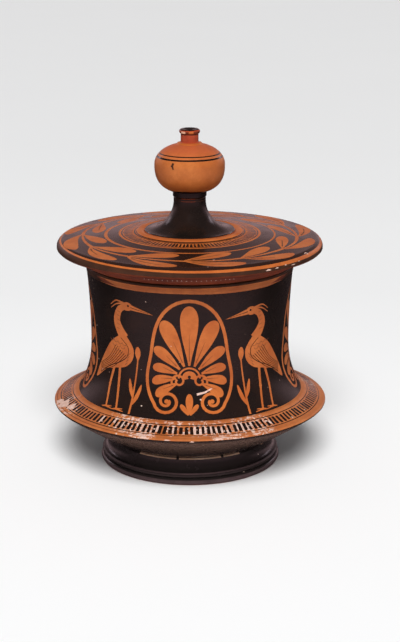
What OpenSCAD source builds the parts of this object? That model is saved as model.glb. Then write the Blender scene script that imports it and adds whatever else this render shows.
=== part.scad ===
// Footed pottery box with a concave wall, a projecting flange and a domed lid with a stemmed knob.
// Every member is turned round the Z axis. Z = 0 is the surface that the foot rests on.

/* [Foot] */
// Height of the ring foot, from the resting surface to the underbody
foot_h = 12.2; // [10:0.1:15]
// Radius of the foot where it meets the underbody
foot_neck_r = 40; // [36:0.5:44]
// How far the lowest moulding stands out beyond the neck of the foot
foot_spread = 4.9; // [3:0.1:6]
// Height of the rounded moulding that the foot rests on
foot_torus_h = 3.2; // [2.4:0.1:4]
// Height of the bead above the groove
foot_bead_h = 2.6; // [2:0.1:3.4]
// Depth of the groove between the two mouldings
foot_groove = 0.9; // [0.4:0.1:1.4]
// Gap between the moulding and the bead, at the bottom of the groove
foot_gap = 0.3; // [0.1:0.05:0.6]
// How far the bead stands back from the moulding below it
foot_bead_in = 0.6; // [0:0.1:1.2]
// Thickness of the foot at its neck
foot_t = 4.3; // [3:0.1:6]
// How far the inside of the foot leans in from the resting ring to the floor
foot_draft = 2.4; // [0.5:0.1:3.5]

/* [Underbody and flange] */
// Rise of the underbody from the foot to the lower edge of the flange
bowl_rise = 17.9; // [14:0.1:21]
// How far the underbody bulges below a straight cone
bowl_bulge = 0.5; // [0:0.1:3.5]
// Thickness of the floor at the foot
floor_t = 6.4; // [5:0.1:8]
// Rise of the hollow in the middle of the underside
floor_hollow = 1.4; // [0.5:0.1:2.5]
// Radius of the bend between the floor and the inner wall
floor_bend_r = 13; // [8:0.5:15]
// How far the flange stands out beyond the foot of the wall
flange_reach = 12.2; // [9:0.1:16]
// Thickness of the flange at its edge
flange_edge_t = 2.1; // [2:0.1:4]
// Drop of the flange from the wall to its edge
flange_fall = 4.8; // [3:0.1:7]
// How far the lower edge of the flange stands back from its greatest radius
flange_undercut = 0.8; // [0.3:0.1:1.5]
// Width of the fillet on the flange beside the wall
fillet_w = 1.8; // [1:0.1:2.6]
// Height of that fillet above the sloping face
fillet_h = 0.35; // [0.1:0.05:0.7]
// Depth of the groove at the joint of foot and underbody
joint_groove = 0.5; // [0.2:0.1:0.8]

/* [Wall] */
// Outer radius of the wall at its waist
waist_r = 49; // [46:0.1:54]
// Height of the painted wall, from the flange to the band under the rim
wall_h = 60.6; // [50:0.2:75]
// Height of the waist above the flange
waist_h = 27.2; // [22:0.2:34]
// How far the wall flares out from the waist to the flange
base_flare = 6.7; // [4.5:0.1:9]
// How far the wall flares out from the waist to the rim
mouth_flare = 1.65; // [0.8:0.05:3]
// Wall thickness at the waist and the rim
wall_t = 4.4; // [3.4:0.1:5.6]
// How far the inside flares out from the waist to the floor
inner_flare = 3; // [1:0.1:4]
// Height of the plain band under the rim
rim_band_h = 2.1; // [1.4:0.1:3]
// Height of the rounded rim
rim_bead_h = 2; // [1.4:0.1:3]
// How far the rounded rim stands out beyond the band
rim_bead_out = 0.9; // [0.4:0.1:1.5]

/* [Lid] */
// Gap all round between the locating ring and the inside of the mouth
lid_clearance = 0.7; // [0.4:0.05:1.2]
// Depth of the locating ring below the rim
locating_depth = 9; // [6:0.5:13]
// Thickness of the locating ring
locating_t = 4; // [3:0.1:5]
// Height of the moulding that rests on the rim
seat_h = 6.3; // [5:0.1:9]
// How far that moulding stands out beyond the mouth of the wall
seat_out = 3.2; // [2:0.1:4.5]
// How far the lid stands out beyond the mouth of the wall
lid_reach = 14.4; // [11:0.1:18]
// Thickness of the lid at its edge
lid_edge_t = 4.9; // [4.6:0.1:6.5]
// Rise of the lid from its edge to the platform under the knob
dome_rise = 3; // [1.5:0.1:5]
// Rounding of the lid's upper edge
edge_round = 3.4; // [1.5:0.1:3.6]
// Thickness of the lid in the middle
crown_t = 5.6; // [4.6:0.1:7]

/* [Knob] */
// Radius of the stem's foot
stem_foot_r = 22.1; // [19:0.1:26]
// Height of the upright edge of the stem's foot
stem_edge_h = 1.3; // [0.8:0.1:2]
// Radius of the stem's neck
stem_neck_r = 7.85; // [6.5:0.05:9.5]
// Height of the stem from the lid to the notch under the knob
stem_h = 17.4; // [15:0.1:26]
// Width of the raised collar round the stem's foot
collar_w = 4.1; // [3:0.1:5.5]
// Height of the collar
collar_h = 1; // [0.6:0.1:1.6]
// Height of the straight neck at the top of the stem
stem_neck_h = 1.8; // [0.8:0.1:3]
// Depth of the notch between the stem and the knob
neck_notch = 0.4; // [0.2:0.05:0.7]
// Height of the ring under the knob
knob_ring_h = 2.6; // [1.6:0.1:3.2]
// How far that ring stands out beyond the stem's neck
knob_ring_out = 0.35; // [0.1:0.05:0.8]
// Greatest radius of the knob
knob_r = 17.1; // [14:0.1:21]
// Height of the knob from its ring to its greatest radius
knob_low_h = 13.1; // [10:0.1:17]
// Height of the knob from its greatest radius to the finial
knob_top_h = 9.9; // [8:0.1:13]
// Fullness of the knob's outline below the greatest radius
knob_low_power = 2.6; // [2:0.1:3]
// Fullness of the knob's outline above the greatest radius
knob_top_power = 2.1; // [2:0.1:2.8]
// Radius of the step under the finial
finial_step_r = 6.3; // [5.8:0.1:7.2]
// Height of that step
finial_step_h = 0.8; // [0.4:0.1:1.2]
// Radius of the finial's neck
finial_neck_r = 4.3; // [3.6:0.1:5]
// Radius of the finial's lip
finial_lip_r = 5.05; // [4.6:0.05:6.5]
// Height of the finial above the knob
finial_h = 7.3; // [6:0.1:9]
// Height of the finial's lip
finial_lip_h = 2.4; // [1.6:0.1:3]
// Depth of the dish in the top of the finial
finial_dish = 0.5; // [0.2:0.1:0.9]
// Radius of the vent through the finial
vent_r = 1.2; // [0.8:0.1:1.6]
// Radius of the bore through the knob and its stem
core_r = 2.6; // [2:0.1:3.4]

/* [Curves and corners] */
// How late the wall turns out towards the flange
base_power = 2.5; // [1.8:0.1:3]
// How late the wall turns out towards the rim
mouth_power = 1.9; // [1.4:0.1:2.6]
// How late the lid rises towards the knob
dome_power = 1.15; // [1:0.05:1.6]
// How late the flange's upper face rises towards the wall
fall_power = 1.3; // [1:0.05:1.8]
// Softening of small turned corners
arris = 0.4; // [0.2:0.05:0.5]

/* [Hidden] */
$fn = 180;

clay = [0.76, 0.43, 0.23];
gloss = [0.15, 0.12, 0.12];
red_clay = [0.55, 0.24, 0.13];

// Number of straight steps in a long curve and in a small moulding
long_steps = 28;
short_steps = 8;
// Where the arcs of the foot's two mouldings end, in degrees above and below the level
torus_turn = 60;
bead_turn = 70;
// Where the rounded rim, the flange's edge and the finial's lip begin, in degrees below the level
rim_turn = 60;
edge_turn = 20;
lip_turn = 70;

// Foot, from the resting surface up
foot_r = foot_neck_r + foot_spread;
torus_r = foot_torus_h / 2;
bead_half = foot_bead_h / 2;
bead_z = foot_torus_h + foot_gap + bead_half;
foot_in_r = foot_neck_r - foot_t;
rest_in_r = foot_in_r + foot_draft;

// Heights of the joints between the members, each one stacked on the one below
flange_low_z = foot_h + bowl_rise;
flange_edge_z = flange_low_z + flange_edge_t;
wall_z = flange_edge_z + flange_fall;
waist_z = wall_z + waist_h;
band_z = wall_z + wall_h;
rim_z = band_z + rim_band_h + rim_bead_h;
lid_under_z = rim_z + seat_h;
lid_edge_z = lid_under_z + lid_edge_t;
platform_z = lid_edge_z + dome_rise;
stem_top_z = platform_z + stem_h;
ring_top_z = stem_top_z + knob_ring_h;
belly_z = ring_top_z + knob_low_h;
knob_top_z = belly_z + knob_top_h;

// Radii that one member shares with the next
wall_base_r = waist_r + base_flare;
mouth_r = waist_r + mouth_flare;
inner_base_r = waist_r - wall_t + inner_flare;
flange_r = wall_base_r + flange_reach;
flange_low_r = flange_r - flange_undercut;
rim_flat_r = mouth_r + rim_bead_out - rim_bead_h / 2;
lid_r = mouth_r + lid_reach;
lid_top_r = lid_r - edge_round;
locating_r = inner_r(rim_z) - lid_clearance;
locating_low_r = inner_r(rim_z - locating_depth) - lid_clearance;
locating_in_r = locating_low_r - locating_t;
platform_r = stem_foot_r + collar_w;
notch_r = stem_neck_r - neck_notch;
knob_ring_r = stem_neck_r + knob_ring_out;
floor_flat_r = inner_base_r - floor_bend_r;

// Points on an arc about a centre, from one angle to another
function arc(centre, radius, from, to, steps) =
    [for (i = [0:steps]) let (a = from + (to - from) * i / steps)
        centre + radius * [cos(a), sin(a)]];

// Points on a quarter of an ellipse, from a point with a level tangent to one with an upright tangent
function quarter(level, upright, steps) =
    [for (i = [0:steps]) let (a = 90 * i / steps)
        [level[0] + (upright[0] - level[0]) * sin(a), level[1] + (upright[1] - level[1]) * (1 - cos(a))]];

// Radius of the concave wall at height z, outside and inside
function wall_r(z) = z < waist_z
    ? waist_r + base_flare * pow((waist_z - z) / waist_h, base_power)
    : waist_r + mouth_flare * pow((z - waist_z) / (band_z - waist_z), mouth_power);
function inner_r(z) = waist_r - wall_t + (z < waist_z
    ? inner_flare * pow((waist_z - z) / waist_h, base_power)
    : mouth_flare * pow((z - waist_z) / (band_z - waist_z), mouth_power));

// Height of the underbody at radius r: a cone that bulges downwards
function under_z(r) = let (low = foot_h + joint_groove, t = (r - foot_neck_r) / (flange_low_r - foot_neck_r))
    low + (flange_low_z - low) * t - 4 * bowl_bulge * t * (1 - t);

// Heights of the floor's two faces, which rise a little towards the middle
function floor_under_z(r) = foot_h + floor_hollow * (1 - pow(r / foot_in_r, 2));
function floor_top_z(r) = foot_h + floor_t + floor_hollow * (1 - pow(r / floor_flat_r, 2));

// Height of the flange's upper face beyond its fillet, and of the lid's domed face and its underside
flange_top_in_r = wall_base_r + fillet_w;
flange_top_out_r = flange_r - flange_edge_t / 2;
function flange_top_z(r) = flange_edge_z + (flange_fall - fillet_h)
    * pow((flange_top_out_r - r) / (flange_top_out_r - flange_top_in_r), fall_power);
function dome_z(r) = lid_edge_z + dome_rise * pow((lid_top_r - r) / (lid_top_r - platform_r), dome_power);
function lid_hollow_z(r) = lid_under_z
    + (platform_z - crown_t - lid_under_z) * (1 - pow(r / locating_in_r, 2));

// Rounded outline of the knob between a small radius and its greatest one, as [radius, share of the height]
function swell(small_r, power) = let (turn = acos(pow(small_r / knob_r, power / 2)))
    [for (i = [0:long_steps]) let (a = turn * (1 - i / long_steps))
        [knob_r * pow(cos(a), 2 / power), pow(sin(a), 2 / power) / pow(sin(turn), 2 / power)]];

function reversed(list) = [for (i = [len(list) - 1:-1:0]) list[i]];

// Even steps from one number to another
function steps(from, to, count) = [for (i = [0:count]) from + (to - from) * i / count];

module turned(profile) {
    rotate_extrude() polygon(profile);
}

// Ring foot: torus, groove, bead and hollow outside, open and slightly leaning inside
module ring_foot() {
    bead_centre = [foot_r - foot_bead_in - bead_half, bead_z];
    bead_end = bead_centre + bead_half * [cos(bead_turn), sin(bead_turn)];
    neck = [foot_neck_r, foot_h - joint_groove];
    color(gloss) turned(concat(
        [[rest_in_r + arris, 0]],
        arc([foot_r - torus_r, torus_r], torus_r, -90, torus_turn, short_steps),
        [[foot_r - torus_r / 2 - foot_groove, foot_torus_h + foot_gap / 2]],
        arc(bead_centre, bead_half, -torus_turn, bead_turn, short_steps),
        quarter(bead_end, neck, short_steps),
        [[foot_neck_r - joint_groove, foot_h], [foot_in_r, foot_h], [rest_in_r, arris]]
    ));
}

// Floor and underbody in one dish, with a shoulder for the wall and the flange
module floor_bowl() {
    bend_centre = [floor_flat_r, foot_h + floor_t + floor_bend_r];
    color(gloss) turned(concat(
        [for (r = steps(0, foot_in_r, short_steps)) [r, floor_under_z(r)]],
        [[foot_neck_r - joint_groove, foot_h]],
        [for (r = steps(foot_neck_r, wall_base_r, long_steps / 2)) [r, under_z(r)]],
        [[wall_base_r, wall_z], [inner_base_r, wall_z]],
        arc(bend_centre, floor_bend_r, 0, -90, long_steps / 2),
        [for (r = steps(floor_flat_r, 0, short_steps)) if (r < floor_flat_r) [r, floor_top_z(r)]]
    ));
}

// Sloping ledge round the foot of the wall, with a fillet at the wall and a rounded edge
module projecting_flange() {
    edge_half = flange_edge_t / 2;
    edge_centre = [flange_top_out_r, flange_edge_z - edge_half];
    color(clay) turned(concat(
        [for (r = steps(wall_base_r, flange_low_r, long_steps / 2)) [r, under_z(r)]],
        arc(edge_centre, edge_half, -edge_turn, 90, short_steps),
        [for (r = steps(flange_top_out_r, flange_top_in_r, short_steps)) if (r < flange_top_out_r)
            [r, flange_top_z(r)]],
        [[flange_top_in_r - arris, wall_z - arris / 2], [wall_base_r, wall_z]]
    ));
}

// Concave wall with a plain band and a rounded rim, flat on top where the lid rests
module drum_wall() {
    band_r = mouth_r + arris / 2;
    bead_centre = [rim_flat_r, rim_z - rim_bead_h / 2];
    color(gloss) turned(concat(
        [[inner_base_r, wall_z]],
        [for (z = steps(wall_z, band_z, long_steps)) [wall_r(z), z]],
        [[band_r, band_z + arris / 2], [band_r, band_z + rim_band_h]],
        arc(bead_centre, rim_bead_h / 2, -rim_turn, 90, short_steps),
        [for (z = steps(rim_z, wall_z, long_steps)) if (z > wall_z) [inner_r(z), z]]
    ));
}

// Ring that drops inside the mouth, drawn in towards its lower end like the wall that it follows
module locating_ring() {
    low_z = rim_z - locating_depth;
    color(clay) turned([
        [locating_in_r, lid_under_z],
        [locating_in_r, low_z + arris],
        [locating_in_r + arris, low_z],
        [locating_low_r - arris, low_z],
        [locating_low_r, low_z + arris],
        [locating_r, rim_z],
        [locating_r, lid_under_z]
    ]);
}

// Recessed moulding that rests on the rim: a quarter round under a plain strip
module seat_moulding() {
    strip_r = mouth_r + seat_out;
    color(red_clay) turned(concat(
        [[locating_r, rim_z]],
        quarter([rim_flat_r, rim_z], [strip_r, rim_z + seat_h / 2], short_steps),
        [[strip_r, lid_under_z], [locating_r, lid_under_z]]
    ));
}

// Domed disc with an upright edge, rounded above and sharp below, and a shallow hollow underneath
module lid_plate() {
    color(gloss) turned(concat(
        [for (r = steps(0, locating_in_r, short_steps)) [r, lid_hollow_z(r)]],
        [[lid_r - 2 * arris, lid_under_z], [lid_r, lid_under_z + 2 * arris]],
        arc([lid_top_r, lid_edge_z - edge_round], edge_round, 0, 90, short_steps),
        [for (r = steps(lid_top_r, platform_r, long_steps)) if (r < lid_top_r) [r, dome_z(r)]],
        [[0, platform_z]]
    ));
}

// Rounded ring of clay round the stem's foot
module stem_collar() {
    color(clay) turned([for (a = steps(0, 180, 2 * short_steps))
        [stem_foot_r + collar_w / 2 * (1 + cos(a)), platform_z + collar_h * sin(a)]]);
}

// Trumpet-shaped stem with an upright edge at its foot and a bore up the middle
module knob_stem() {
    foot_edge = [stem_foot_r - arris, platform_z + stem_edge_h];
    neck = [stem_neck_r, stem_top_z - stem_neck_h];
    color(gloss) turned(concat(
        [[core_r, platform_z], [stem_foot_r, platform_z], [stem_foot_r, platform_z + stem_edge_h - arris]],
        quarter(foot_edge, neck, long_steps),
        [[stem_neck_r, stem_top_z - arris], [notch_r, stem_top_z], [core_r, stem_top_z]]
    ));
}

// Fruit-shaped knob on a small ring, fuller below than above
module knob_bulb() {
    color(clay) turned(concat(
        [[core_r, stem_top_z], [notch_r, stem_top_z]],
        [[knob_ring_r, stem_top_z + arris], [knob_ring_r, ring_top_z - arris]],
        [for (p = swell(knob_ring_r, knob_low_power)) [p[0], belly_z - knob_low_h * p[1]]],
        [for (p = reversed(swell(finial_step_r, knob_top_power))) if (p[0] < knob_r)
            [p[0], belly_z + knob_top_h * p[1]]],
        [[core_r, knob_top_z]]
    ));
}

// Small neck with a flared lip and a dished top, on a step
module knob_finial() {
    lip_half = finial_lip_h / 2;
    step_z = knob_top_z + finial_step_h;
    top_z = knob_top_z + finial_h;
    color(red_clay) turned(concat(
        [[vent_r, knob_top_z], [finial_step_r, knob_top_z]],
        [[finial_step_r - arris, step_z - arris / 2], [finial_neck_r + arris, step_z]],
        [[finial_neck_r, step_z + arris], [finial_neck_r, top_z - finial_lip_h - arris]],
        arc([finial_lip_r - lip_half, top_z - lip_half], lip_half, -lip_turn, 90, short_steps),
        [[vent_r + arris, top_z - finial_dish], [vent_r, top_z - finial_dish - arris]]
    ));
}

ring_foot();
floor_bowl();
projecting_flange();
drum_wall();
locating_ring();
seat_moulding();
lid_plate();
stem_collar();
knob_stem();
knob_bulb();
knob_finial();
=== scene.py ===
"""Looks of a footed, lidded pottery box in the red-figure manner: turned skins, painted zones and stage.

Every surface is turned round the Z axis. Outlines are in millimetres and become metres in the meshes.
A direction round the axis is an angle from the front (-Y), growing towards +X.
"""

import math
import random
from bisect import bisect_right
from functools import partial

import bpy
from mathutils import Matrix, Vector
from mathutils.geometry import delaunay_2d_cdt


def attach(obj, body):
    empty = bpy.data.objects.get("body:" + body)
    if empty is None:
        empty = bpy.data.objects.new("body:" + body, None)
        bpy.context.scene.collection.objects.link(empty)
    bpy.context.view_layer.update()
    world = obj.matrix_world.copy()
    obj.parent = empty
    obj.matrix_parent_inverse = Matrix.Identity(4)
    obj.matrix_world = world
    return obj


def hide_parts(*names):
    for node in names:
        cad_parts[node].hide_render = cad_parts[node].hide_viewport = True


MM = 0.001
SEGMENTS = 192
TURN = 2 * math.pi
WORLD_FRONT, WORLD_BACK, WORLD_LOW, GROUND_FRONT, GROUND_BACK = 0.22, 0.16, 0.75, 0.8, 0.07
BROAD_LIGHT, SOFTBOX, PANEL = 3.3, 3.4, 1.1
BLACK, CLAY, CHALKY, WASH, RED, DILUTE, WORN, BROWN, RUBBED_AND_HIGHLIGHT, FIRED, PALE = range(11)

# Spans of the foot's joint without black, in degrees from the front
BARE_JOINT = ((-38, -9), (-8, 22), (24, 37), (61, 84), (112, 119), (131, 163), (-171, -160), (-128, -97))

# Spans of the flange's tongues with pale flakes between them: first and last degree, and how many of ten
WORN_TONGUES = ((-48, -26, 0.35), (-22, -14, 0.9), (-9, -5, 0.9), (-3, 0, 0.8), (1.5, 10, 0.95), (10, 18, 0.7),
                (20, 40, 0.6), (96, 118, 0.5), (-160, -139, 0.6))
# Flakes on the flange: degrees from the front, radius, half width and half height in millimetres
FLANGE_CHIPS = ((-73, 64.6, 5.2, 4.6), (-78, 65.6, 4.0, 2.6), (-67, 62.8, 3.2, 3.2), (-20, 66.2, 4.0, 1.7),
                (-16.5, 65.4, 1.6, 1.2), (-24, 67.4, 1.4, 0.6), (-18.8, 67.7, 2.2, 0.5), (-8.8, 67.8, 2.0, 0.4),
                (1, 67.85, 1.3, 0.7), (14, 66.9, 3.4, 0.9), (18, 65.9, 1.0, 0.5), (28, 67.2, 3.0, 0.7),
                (51, 63.3, 0.6, 0.7), (-30.5, 67.7, 0.7, 0.5), (140, 66.0, 3.0, 2.0), (-151, 65.0, 2.0, 2.4))

# Flakes on the lid: degrees from the front, length from the lower arris, half width and half height
LID_CHIPS = ((59.4, 4.3, 1.1, 0.35), (60.4, 3.7, 0.4, 0.6), (34.2, 0.8, 1.5, 0.45), (43.5, 1.6, 0.7, 0.3),
             (38.4, 1.1, 1.1, 0.25), (48.0, 0.9, 1.5, 0.25), (52.0, 1.7, 0.5, 0.3), (8.0, 5.9, 0.4, 0.3),
             (12.5, 16.0, 0.7, 0.45), (-120.0, 2.0, 1.8, 0.7), (160.0, 3.2, 1.2, 0.6))

# Worn places on the flange: centre and radius, in millimetres
FLANGE_WEAR = (((-27, -50.5, 36.8), 9.0), ((-22, -59, 33.8), 7.0), ((-7.5, -59, 35.0), 4.5), ((6, -60, 34.5), 5.5),
               ((14.5, -61, 34.0), 6.0), ((25.3, -57, 34.0), 5.5), ((33.7, -53, 34.0), 7.0), ((-61.5, -19, 33.0), 7.0),
               ((-58, -29, 34.0), 4.0), ((18, -64, 32.1), 7.0), ((-40, 50, 33.0), 8.0), ((60, 12, 33.5), 5.0))

# The heron, from its feet: hip, knee and foot of each leg, the toes from the foot, and the body's outline
LEGS = (((-2.6, 20.0), (-4.4, 10.8), (-3.0, 0.9)), ((0.6, 20.4), (0.9, 11.0), (2.6, 0.9)))
TOES = ((3.6, -0.5), (3.0, 0.6), (-2.2, -0.5))
BODY = ((5.0, 33.4), (8.2, 28.6), (7.6, 23.6), (3.8, 19.9), (-2.6, 18.2), (-8.6, 16.2), (-15.4, 11.2),
        (-14.6, 16.0), (-10.8, 22.4), (-5.2, 29.6), (0.4, 33.6), (2.6, 35.4))
WING = ((1.2, 32.6), (5.2, 29.0), (4.8, 24.8), (0.8, 21.6), (-6.0, 18.4), (-12.6, 14.0))

# Middle radius of each unrolled zone, and how far below its first edge a painted band begins
FLANGE_MIDDLE_R, LID_MIDDLE_R, SEAT_MIDDLE_R, BELOW = 62.0, 52.0, 52.5, -1.0

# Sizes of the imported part, in millimetres
FOOT_H, FOOT_NECK_R, FOOT_R, TORUS_R = 12.2, 40.0, 44.9, 1.6
BEAD_HALF, BEAD_Z, BEAD_IN, FOOT_GROOVE, FOOT_GAP = 1.3, 4.8, 0.6, 0.9, 0.3
REST_IN_R, FOOT_IN_R, JOINT_GROOVE = 38.1, 35.7, 0.5
FLANGE_LOW_Z, FLANGE_EDGE_Z, WALL_Z, WAIST_Z, BAND_Z = 30.1, 32.2, 37.0, 64.2, 97.6
RIM_Z, LID_UNDER_Z, LID_EDGE_Z, PLATFORM_Z = 101.7, 108.0, 112.9, 115.9
STEM_TOP_Z, RING_TOP_Z, BELLY_Z, KNOB_TOP_Z, TOP_Z = 133.3, 135.9, 149.0, 158.9, 166.2
BOWL_BULGE, FLOOR_T, FLOOR_HOLLOW, FLOOR_BEND_R = 0.5, 6.4, 1.4, 13.0
WALL_BASE_R, FLANGE_R, FLANGE_LOW_R, FLANGE_EDGE_T = 55.7, 67.9, 67.1, 2.1
FILLET_W, FILLET_H, FLANGE_FALL = 1.8, 0.35, 4.8
WAIST_R, BASE_FLARE, MOUTH_FLARE, WALL_T, INNER_FLARE = 49.0, 6.7, 1.65, 4.4, 3.0
BASE_POWER, MOUTH_POWER, FALL_POWER, DOME_POWER = 2.5, 1.9, 1.3, 1.15
MOUTH_R, INNER_BASE_R, RIM_BEAD_H, RIM_FLAT_R, BAND_R = 50.65, 47.6, 2.0, 50.55, 50.85
LID_R, EDGE_ROUND, PLATFORM_R, CROWN_T = 65.05, 3.4, 26.2, 5.6
LOCATING_LOW_R, LOCATING_IN_R, LOCATING_LOW_Z = 45.12, 41.12, 92.7
STRIP_R, SEAT_H = 53.85, 6.3
STEM_FOOT_R, STEM_EDGE_H, STEM_NECK_R, STEM_NECK_H, COLLAR_W, COLLAR_H = 22.1, 1.3, 7.85, 1.8, 4.1, 1.0
KNOB_RING_R, KNOB_R, NOTCH_R = 8.2, 17.1, 7.45
LOW_POWER, TOP_POWER = 2.6, 2.1
FINIAL_STEP_R, FINIAL_STEP_H, FINIAL_NECK_R, FINIAL_LIP_R, FINIAL_LIP_H, FINIAL_DISH = 6.3, 0.8, 4.3, 5.05, 2.4, 0.5
VENT_R, CORE_R, ARRIS, BUMP_DEPTH = 1.2, 2.6, 0.4, 0.1
FLANGE_TOP_IN_R, FLANGE_TOP_OUT_R = WALL_BASE_R + FILLET_W, FLANGE_R - FLANGE_EDGE_T / 2
LID_TOP_R, RING_PLAY = LID_R - EDGE_ROUND, 0.7


def around(centre, angle, rx, ry=None):
    """Point on a circle or an ellipse about a centre"""
    return centre[0] + rx * math.cos(angle), centre[1] + (rx if ry is None else ry) * math.sin(angle)


def arc(centre, radius, start, end, count):
    """Points on an arc about a centre, between two angles in degrees"""
    return [around(centre, math.radians(a), radius) for a in even(start, end, count)]


def quarter(level, upright, count):
    """Points on a quarter of an ellipse, from a level tangent to an upright one"""
    return [(level[0] + (upright[0] - level[0]) * math.sin(a),
             level[1] + (upright[1] - level[1]) * (1 - math.cos(a))) for a in even(0, math.pi / 2, count)]


def dish(z, rise, start_r, end_r, count):
    """Points on a shallow hollow: z at its edge, higher by rise in the middle"""
    edge_r = max(start_r, end_r)
    return [(r, z + rise * (1 - (r / edge_r) ** 2)) for r in even(start_r, end_r, count)]


def even(start, end, count):
    return [start + (end - start) * i / count for i in range(count + 1)]


def flared(z, middle_r, base_flare):
    """Radius of a concave wall that widens from its waist to the base and to the mouth"""
    if z < WAIST_Z:
        return middle_r + base_flare * ((WAIST_Z - z) / (WAIST_Z - WALL_Z)) ** BASE_POWER
    return middle_r + MOUTH_FLARE * ((z - WAIST_Z) / (BAND_Z - WAIST_Z)) ** MOUTH_POWER


def wall_r(z):
    return flared(z, WAIST_R, BASE_FLARE)


def inner_r(z):
    return flared(z, WAIST_R - WALL_T, INNER_FLARE)


LOCATING_TOP_R = inner_r(RIM_Z) - RING_PLAY


def under_z(r):
    low = FOOT_H + JOINT_GROOVE
    t = (r - FOOT_NECK_R) / (FLANGE_LOW_R - FOOT_NECK_R)
    return low + (FLANGE_LOW_Z - low) * t - 4 * BOWL_BULGE * t * (1 - t)


def flange_top_z(r):
    share = (FLANGE_TOP_OUT_R - r) / (FLANGE_TOP_OUT_R - FLANGE_TOP_IN_R)
    return FLANGE_EDGE_Z + (FLANGE_FALL - FILLET_H) * share ** FALL_POWER


def dome_z(r):
    share = (LID_TOP_R - r) / (LID_TOP_R - PLATFORM_R)
    return LID_EDGE_Z + (PLATFORM_Z - LID_EDGE_Z) * share ** DOME_POWER


def swell(small_r, power, count):
    """Rounded outline of the knob from its greatest radius to a small one, as (radius, share of the height)"""
    turn = math.acos((small_r / KNOB_R) ** (power / 2))
    return [(KNOB_R * math.cos(a) ** (2 / power), (math.sin(a) / math.sin(turn)) ** (2 / power))
            for a in even(0, turn, count)]


class Curve:
    """A smooth run of a turned outline, measured along its length"""

    def __init__(self, points):
        self.points = points
        self.along = [0.0]
        for a, b in zip(points, points[1:]):
            self.along.append(self.along[-1] + math.dist(a, b))
        self.length = self.along[-1]
        last = len(points) - 1
        self.normals = []
        for i in range(len(points)):
            a, b = points[max(0, i - 1)], points[min(last, i + 1)]
            size = math.dist(a, b)
            self.normals.append(((b[1] - a[1]) / size, (a[0] - b[0]) / size))

    def at(self, s):
        """Radius, height and normal at a length along the curve"""
        s = min(max(s, 0.0), self.length)
        low = min(bisect_right(self.along, s), len(self.along) - 1) - 1
        high = low + 1
        t = (s - self.along[low]) / max(self.along[high] - self.along[low], 1e-9)
        (r0, z0), (r1, z1) = self.points[low], self.points[high]
        (a0, b0), (a1, b1) = self.normals[low], self.normals[high]
        return r0 + (r1 - r0) * t, z0 + (z1 - z0) * t, a0 + (a1 - a0) * t, b0 + (b1 - b0) * t

    def where(self, axis, value):
        """Length along the curve at which the radius (axis 0) or the height (axis 1) has a value"""
        for i in range(len(self.points) - 1):
            a, b = self.points[i][axis], self.points[i + 1][axis]
            if min(a, b) <= value <= max(a, b) and a != b:
                return self.along[i] + (self.along[i + 1] - self.along[i]) * (value - a) / (b - a)
        raise ValueError("the curve doesn't reach %g" % value)


def wobble(seed, size, waves=5):
    """A small smooth change round the axis, as a brush on a turning pot gives"""
    rng = random.Random(seed)
    terms = [(k, rng.uniform(0, TURN), rng.uniform(0.3, 1.0) / k) for k in range(1, waves + 1)]
    total = sum(t[2] for t in terms)
    return lambda angle: size * sum(w * math.sin(k * angle + p) for k, p, w in terms) / total


def shaken(value, seed, size):
    change = wobble(seed, size)
    return lambda angle: value + change(angle)


def as_function(value):
    return value if callable(value) else lambda angle: value


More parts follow.
